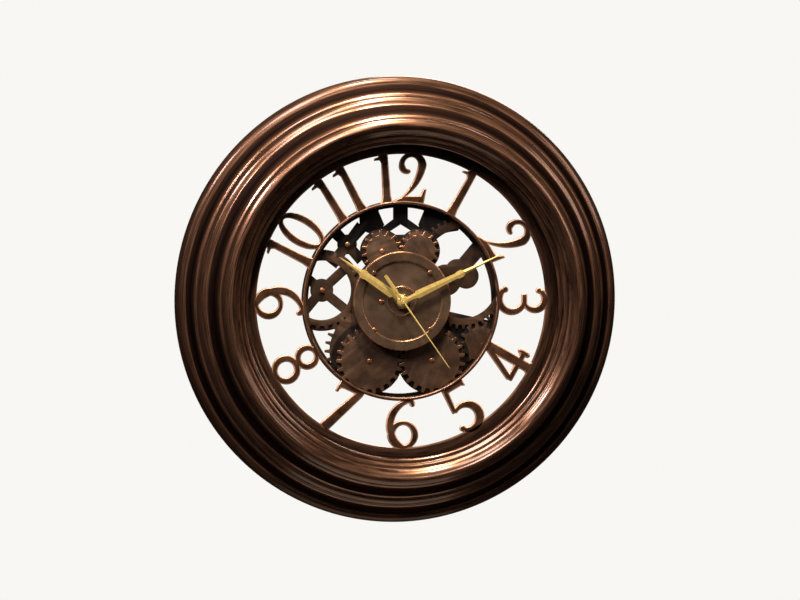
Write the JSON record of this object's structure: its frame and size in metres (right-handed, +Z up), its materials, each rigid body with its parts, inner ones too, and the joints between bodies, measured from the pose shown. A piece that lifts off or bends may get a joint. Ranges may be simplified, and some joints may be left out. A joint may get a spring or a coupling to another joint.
{
  "type": "round wall clock with open gear dial",
  "caption": "Round bronze-finished wall clock with a stepped ring, a see-through dial of raised numerals, a relief of gear wheels and gold hands on a battery movement.",
  "frame": {"origin": "on the hands' axis, in the plane of the wall that the back edge of the case lies against", "axes": "+X to the viewer's right, +Y into the wall (the dial faces -Y), +Z up through twelve"},
  "size_m": [0.406, 0.0567, 0.406],
  "materials": {
    "case": "moulded, dark oil-rubbed bronze with rubbed copper edges",
    "glass": "clear flat mineral glass",
    "dial": "moulded, dark bronze with rubbed copper edges",
    "relief": "moulded, dull dark bronze",
    "wheels": "moulded, brown bronze with copper tooth edges",
    "disc": "moulded, dull brown bronze",
    "gold": "stamped, satin gold",
    "brass": "turned, bright",
    "steel": "zinc plated sheet",
    "housing": "moulded, fine matt black",
    "acetal": "moulded, natural white",
    "copper": "enamelled winding wire",
    "board": "green circuit board",
    "can": "plated metal can",
    "cell": "plain shrink sleeve with bare metal ends"
  },
  "bodies": {
    "clock": {"case_ring": "case", "glass": "glass", "dial_rim": "dial", "chapter_ring": "dial", "numeral_1": "dial", "numeral_2": "dial", "numeral_3": "dial", "numeral_4": "dial", "numeral_5": "dial", "numeral_6": "dial", "numeral_7": "dial", "numeral_8": "dial", "numeral_9": "dial", "numeral_10_left": "dial", "numeral_10_right": "dial", "numeral_11_left": "dial", "numeral_11_right": "dial", "numeral_12_left": "dial", "numeral_12_right": "dial", "gear_plate": "relief", "wheel_lower_left": "wheels", "wheel_lower_right": "wheels", "wheel_upper_left": "wheels", "wheel_upper_right": "wheels", "centre_disc": "disc", "hanger_plate": "steel", "movement_case": "housing", "movement_back": "housing", "middle_plate": "acetal", "fixing_nut": "brass", "stator": "steel", "coil": "copper", "coil_core": "steel", "circuit_board": "board", "crystal": "can", "contact_minus": "steel", "contact_plus": "steel", "battery": "cell"},
    "seconds": {"second_arbor": "acetal", "second_hand": "gold"},
    "intermediate": {"intermediate_wheel": "acetal"},
    "motor_rotor": {"rotor": "acetal"},
    "third": {"third_wheel": "acetal"},
    "centre": {"centre_wheel": "acetal"},
    "minutes": {"minute_arbor": "acetal", "minute_hand": "gold"},
    "motion": {"minute_wheel": "acetal"},
    "hours": {"hour_wheel": "acetal", "hour_hand": "gold"},
    "setting": {"setting_knob": "acetal"}
  },
  "joints": [
    {"name": "seconds_turn", "type": "hinge", "parent": "clock", "child": "seconds", "pos_m": [0, -0.012, 0], "axis": [0, 1, 0], "continuous": true},
    {"name": "intermediate_turn", "type": "hinge", "parent": "clock", "child": "intermediate", "pos_m": [0.0086, -0.012, 0.00602], "axis": [0, 1, 0], "continuous": true},
    {"name": "rotor_turn", "type": "hinge", "parent": "clock", "child": "motor_rotor", "pos_m": [0.01283, -0.012, 0.01397], "axis": [0, 1, 0], "continuous": true},
    {"name": "third_turn", "type": "hinge", "parent": "clock", "child": "third", "pos_m": [-0.00929, -0.012, 0.0065], "axis": [0, 1, 0], "continuous": true},
    {"name": "centre_turn", "type": "hinge", "parent": "clock", "child": "centre", "pos_m": [0, -0.012, 0], "axis": [0, 1, 0], "continuous": true},
    {"name": "minutes_turn", "type": "hinge", "parent": "clock", "child": "minutes", "pos_m": [0, -0.012, 0], "axis": [0, 1, 0], "continuous": true},
    {"name": "motion_turn", "type": "hinge", "parent": "clock", "child": "motion", "pos_m": [0, -0.012, 0.009], "axis": [0, 1, 0], "continuous": true},
    {"name": "hours_turn", "type": "hinge", "parent": "clock", "child": "hours", "pos_m": [0, -0.012, 0], "axis": [0, 1, 0], "continuous": true},
    {"name": "setting_turn", "type": "hinge", "parent": "clock", "child": "setting", "pos_m": [0, -0.012, 0.018], "axis": [0, 1, 0], "continuous": true}
  ],
  "couplings": [
    {"joint": "intermediate_turn", "follows": "seconds_turn", "ratio": -6},
    {"joint": "rotor_turn", "follows": "seconds_turn", "ratio": 30},
    {"joint": "third_turn", "follows": "seconds_turn", "ratio": -0.13333},
    {"joint": "centre_turn", "follows": "seconds_turn", "ratio": 0.016667},
    {"joint": "motion_turn", "follows": "minutes_turn", "ratio": -0.33333},
    {"joint": "hours_turn", "follows": "minutes_turn", "ratio": 0.083333},
    {"joint": "setting_turn", "follows": "minutes_turn", "ratio": 1}
  ]
}
